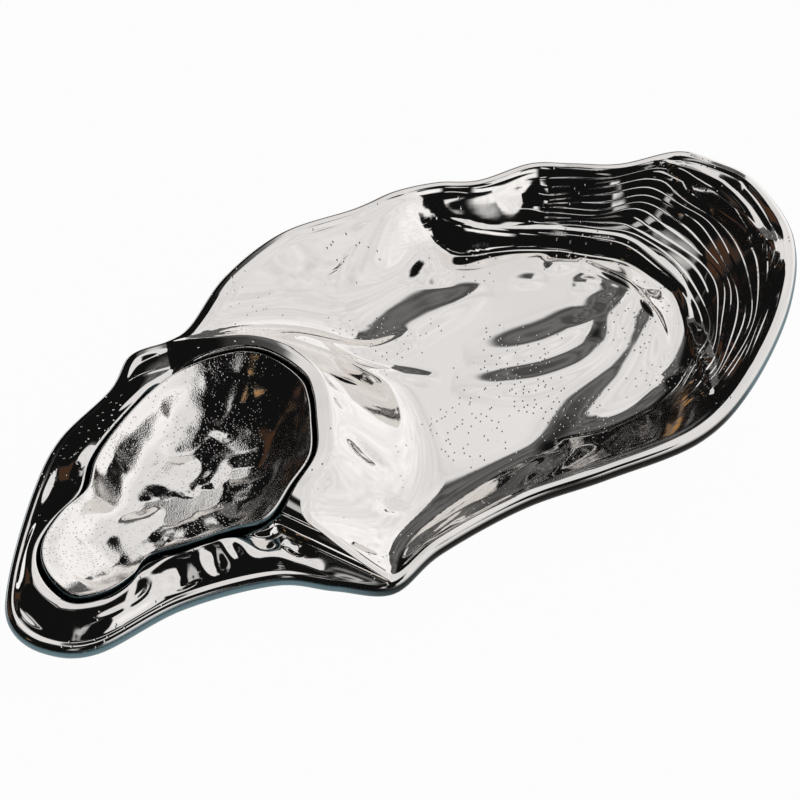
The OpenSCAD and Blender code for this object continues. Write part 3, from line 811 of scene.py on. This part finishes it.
# Patches: azimuths of the sides and their softness, elevations of the ends and their softness;
# the bulb and the lamps count azimuth from the dip end
SIDE_PANEL = (-112, -70), 4.0, (15, 23.5), 1.5
CARD = (-126, -117), 1.5, (26, 30), 1.5
WALL = (44, 64), 4.0, (4, 60), 5.0
DOOR = (106, 126), 3.0, (14, 42), 4.0
BULB = (-6, 0), 2.0, (40, 47), 2.0
LAMP_AZIMUTHS, LAMP_SOFT, LAMP_ELEVATION = ((-98.0, -77.0), (30.0, 50.0)), 4.0, (46.0, 54.0)
# Light: a fall with elevation or a spread over noise goes from two values to two levels, or else to 0 and 1
PANEL_FALL, PANEL_LIGHT, PANEL_CLOUD, PANEL_NOISE = (15.0, 44.0, 1.0, 0.8), 0.72, 0.5, 14.0
WALL_NOISE, WALL_DETAIL, WALL_SPREAD = 20.0, 3.0, (0.35, 0.65, 0.06, 0.15)
BACKDROP_FALL = (-1.0, 0.5, 0.9, 0.0)
LAMP_NOISE, LAMP_SPREAD, LAMP_LIGHT = 4.5, (0.5, 0.58), 0.5
DOOR_LIGHT, BULB_LIGHT, ROOM_LIGHT = 0.05, 0.5, 0.006
WHITE = (1, 1, 1, 1)
WOOD = (1, 0.5, 0.28, 1)
AMBER = (1, 0.5, 0.1, 1)


def make_world():
    world = bpy.data.worlds.new("studio")
    bpy.context.scene.world = world
    world.use_nodes = True
    tree = world.node_tree
    tree.nodes.clear()
    out = tree.nodes.new("ShaderNodeOutputWorld")
    ray = add_node(tree, "ShaderNodeTexCoord", {}, {}, "Generated")
    x, y, z = (add_node(tree, "ShaderNodeSeparateXYZ", {}, {0: ray}, axis) for axis in "XYZ")
    azimuth = x.math("ARCTAN2", y, x) * math.degrees(1)
    from_dip = x.math("ARCTAN2", -1.0 * y, -1.0 * x) * math.degrees(1)
    elevation = z.math("ARCSINE", z) * math.degrees(1)
    nearward = -1.0 * azimuth

    def past(value, start, slope):
        return slope * value.math("MAXIMUM", value - start, 0.0)

    def span(value, low, high, soft):
        return ramp(value, low - soft, low + soft) * ramp(value, high - soft, high + soft, 1.0, 0.0)

    def patch(turn, sides, side_soft, ends, end_soft):
        return span(turn, *sides, side_soft) * span(elevation, *ends, end_soft)

    foot = azimuth.math("MINIMUM", FOOT_TOP, FOOT + past(azimuth, *FOOT_FAR)) + past(nearward, *FOOT_NEAR)
    head = HEAD - past(nearward, *HEAD_NEAR)
    near, far = PANEL_AZIMUTH
    panel = ramp(azimuth, near - PANEL_SOFT, near + PANEL_SOFT)
    panel = panel * ramp(azimuth - past(elevation, *LEAN), far - PANEL_SOFT, far + PANEL_SOFT, 1.0, 0.0)
    panel = panel * ramp(elevation - foot, -FOOT_SOFT, FOOT_SOFT)
    panel = panel * ramp(head - elevation, -HEAD_SOFT, HEAD_SOFT)
    for extra in (SIDE_PANEL, CARD):
        panel = panel.math("MAXIMUM", panel, patch(azimuth, *extra))
    glow = ramp(elevation, *PANEL_FALL) * (PANEL_LIGHT + PANEL_CLOUD * noise(ray, PANEL_NOISE))
    wall = patch(azimuth, *WALL) * ramp(noise(ray, WALL_NOISE, WALL_DETAIL), *WALL_SPREAD)
    backdrop = ramp(elevation, *BACKDROP_FALL)
    door, bulb = patch(azimuth, *DOOR), patch(from_dip, *BULB)
    lamps = ramp(noise(ray, LAMP_NOISE), *LAMP_SPREAD) * ramp(elevation, *LAMP_ELEVATION) * LAMP_LIGHT
    first, second = (span(from_dip, *sides, LAMP_SOFT) for sides in LAMP_AZIMUTHS)
    lamps = lamps * (first + second)
    room = wall + backdrop + lamps + door * DOOR_LIGHT + bulb * BULB_LIGHT + ROOM_LIGHT
    level = panel * glow + (1 - panel) * room
    colour = blend(bulb, blend(door, WHITE, WOOD), AMBER)
    sky = add_node(tree, "ShaderNodeBackground", {}, {"Color": colour, "Strength": level})
    tree.links.new(sky.socket, out.inputs["Surface"])


make_world()

# Floor: half its width in metres, its paint, and how far it glows for rays that look at it
FLOOR_HALF = 10
FLOOR_PAINT = (0.9, 0.9, 0.9, 1)
FLOOR_GLOW = 0.97


def make_floor():
    bm = bmesh.new()
    bmesh.ops.create_grid(bm, x_segments=1, y_segments=1, size=FLOOR_HALF)
    mesh = bpy.data.meshes.new("floor")
    bm.to_mesh(mesh)
    bm.free()
    floor = bpy.data.objects.new("floor", mesh)
    bpy.context.scene.collection.objects.link(floor)
    material, tree, out = new_material("pale_floor")
    matte = add_node(tree, "ShaderNodeBsdfDiffuse", {}, {"Color": FLOOR_PAINT})
    glow = add_node(tree, "ShaderNodeEmission", {}, {"Color": WHITE, "Strength": 1.0})
    seen = [add_node(tree, "ShaderNodeLightPath", {}, {}, f"Is {kind} Ray") for kind in
            ("Camera", "Glossy", "Transmission")]
    shown = seen[0].math("MAXIMUM", seen[0], seen[1].math("MAXIMUM", seen[1], seen[2]))
    mix = add_node(tree, "ShaderNodeMixShader", {}, {0: shown * FLOOR_GLOW, 1: matte, 2: glow})
    tree.links.new(mix.socket, out.inputs["Surface"])
    mesh.materials.append(material)


make_floor()

# Camera at the viewing angle of the photograph, aimed at a height in millimetres over the plan's origin
VIEW_AZIMUTH, VIEW_ELEVATION = -38, 46
VIEW_DISTANCE = 1.2
VIEW_LENS, VIEW_SENSOR = 111.6, 36
VIEW_HEIGHT = 20.0
VIEW_TARGET = Vector(placed(np.array(0.0), np.array(0.0), np.array(VIEW_HEIGHT)))
camera_data = bpy.data.cameras.new("camera")
camera_data.lens = VIEW_LENS
camera_data.sensor_width = VIEW_SENSOR
camera = bpy.data.objects.new("camera", camera_data)
bpy.context.scene.collection.objects.link(camera)
a, e = math.radians(VIEW_AZIMUTH), math.radians(VIEW_ELEVATION)
back = Vector((math.sin(a) * math.cos(e), -math.cos(a) * math.cos(e), math.sin(e)))
camera.location = VIEW_TARGET + back * VIEW_DISTANCE
camera.rotation_mode = "QUATERNION"
camera.rotation_quaternion = (-back).to_track_quat("-Z", "Y")
bpy.context.scene.camera = camera
bpy.context.scene.view_settings.view_transform = "Standard"
